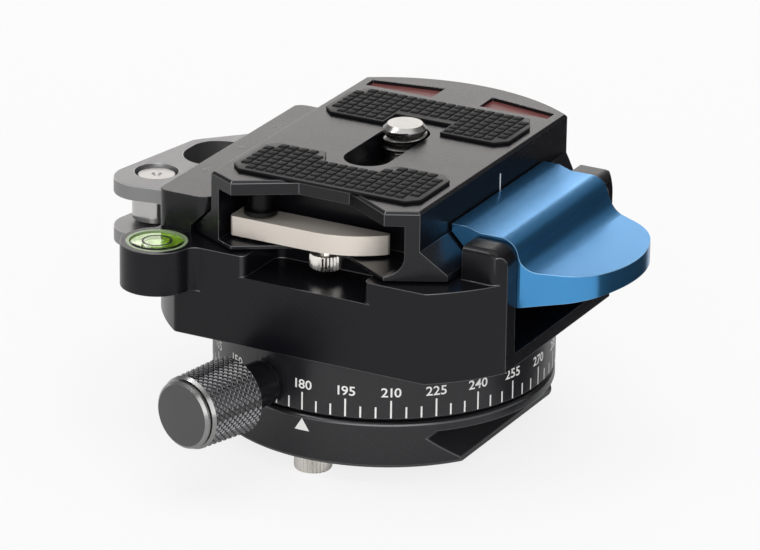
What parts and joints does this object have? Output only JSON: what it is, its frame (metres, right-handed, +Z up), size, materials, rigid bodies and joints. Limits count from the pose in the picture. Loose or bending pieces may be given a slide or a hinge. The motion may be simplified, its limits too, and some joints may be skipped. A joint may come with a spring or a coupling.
{
  "type": "panoramic tripod head",
  "caption": "Panning tripod base with a degree scale, lock knob and bubble level, carrying a lever-release clamp and its dovetail camera plate.",
  "frame": {"origin": "pan axis at the underside of the base, which is the mouth of the tripod thread", "axes": "+Z up along the pan axis, -Y to the front with the level and lock knob, +X to the release lever"},
  "size_m": [0.075, 0.0683, 0.0413],
  "materials": {
    "black_base": "satin black anodised",
    "black_drum": "satin black anodised with white scale",
    "black_body": "satin black anodised",
    "black_jaw": "satin black anodised with small scale",
    "black_collar": "satin black anodised",
    "black_plate": "satin black anodised",
    "grey_bracket": "bead-blasted grey anodised",
    "grey_knob": "knurled dark grey anodised",
    "blue_lever": "satin blue anodised",
    "steel": "turned steel",
    "spring_steel": "drawn spring steel",
    "nickel": "knurled nickel plate",
    "pin_steel": "turned stainless steel",
    "roller_steel": "polished stainless steel",
    "bar_steel": "satin nickel plate",
    "screw_steel": "stainless steel thread",
    "brass": "turned brass",
    "plastic_ring": "white low-friction plastic",
    "level_cup": "pale moulded cup",
    "level_fluid": "yellow-green level fluid",
    "level_lens": "clear acrylic with a black ring",
    "pad_rubber": "moulded rubber with square nubs",
    "red_insert": "dull red rubber"
  },
  "bodies": {
    "base": {"pan_base": "black_base", "thread_bush": "steel", "base_stop_screws": "nickel", "slide_ring": "plastic_ring", "friction_washer": "plastic_ring", "pan_retainer": "steel", "retainer_screws": "steel"},
    "turret": {"scale_drum": "black_drum", "turret_screws": "steel", "clamp_body": "black_body", "fixed_jaw": "black_jaw", "jaw_screws": "steel", "level_cup": "level_cup", "level_fluid": "level_fluid", "level_lens": "level_lens", "strap_bracket": "grey_bracket", "bracket_screws": "steel", "roller_pin": "pin_steel", "knob_bush": "black_collar", "brake_shoe": "brass", "lever_pin": "steel", "lever_springs": "spring_steel"},
    "lever": {"release_lever": "blue_lever"},
    "knob": {"lock_knob": "grey_knob", "knob_stud": "steel"},
    "roller": {"strap_roller": "roller_steel"},
    "plate": {"camera_plate": "black_plate", "front_pad": "pad_rubber", "rear_pad": "pad_rubber", "corner_inserts": "red_insert", "plate_stop_screws": "nickel", "bar_pivot": "pin_steel"},
    "bar": {"strap_bar": "bar_steel"},
    "carriage": {"screw_washer": "steel"},
    "lift": {"screw_clip": "spring_steel"},
    "screw": {"camera_screw": "screw_steel"}
  },
  "joints": [
    {"name": "pan", "type": "hinge", "parent": "base", "child": "turret", "pos_m": [0, 0, 0.0106], "axis": [0, 0, 1], "continuous": true},
    {"name": "knob_turn", "type": "hinge", "parent": "turret", "child": "knob", "pos_m": [0, 0, 0.01005], "axis": [-0.2419, -0.9703, 0], "range_deg": [0, 180]},
    {"name": "lever_press", "type": "hinge", "parent": "turret", "child": "lever", "pos_m": [0.0226, 0.00185, 0.024], "axis": [0, 1, 0], "range_deg": [0, 25], "stiffness_Nm_per_rad": 0.03, "springref_deg": -20.05},
    {"name": "roller_spin", "type": "hinge", "parent": "turret", "child": "roller", "pos_m": [-0.0333, -0.0046, 0.0244], "axis": [0, 0, 1], "continuous": true},
    {"name": "plate_slide", "type": "slide", "parent": "turret", "child": "plate", "axis": [0, 1, 0], "range_m": [-0.0065, 0.0003]},
    {"name": "bar_swing", "type": "hinge", "parent": "plate", "child": "bar", "pos_m": [-0.0098, -0.0174, 0.03], "axis": [0, 0, 1], "range_deg": [-90, 0]},
    {"name": "screw_shift", "type": "slide", "parent": "plate", "child": "carriage", "axis": [0, 1, 0], "range_m": [-0.0105, 0.0002]},
    {"name": "screw_lift", "type": "slide", "parent": "carriage", "child": "lift", "axis": [0, 0, 1], "range_m": [0, 0.0023]},
    {"name": "screw_turn", "type": "hinge", "parent": "lift", "child": "screw", "pos_m": [0, 0.0052, 0.032], "axis": [0, 0, 1], "continuous": true}
  ]
}
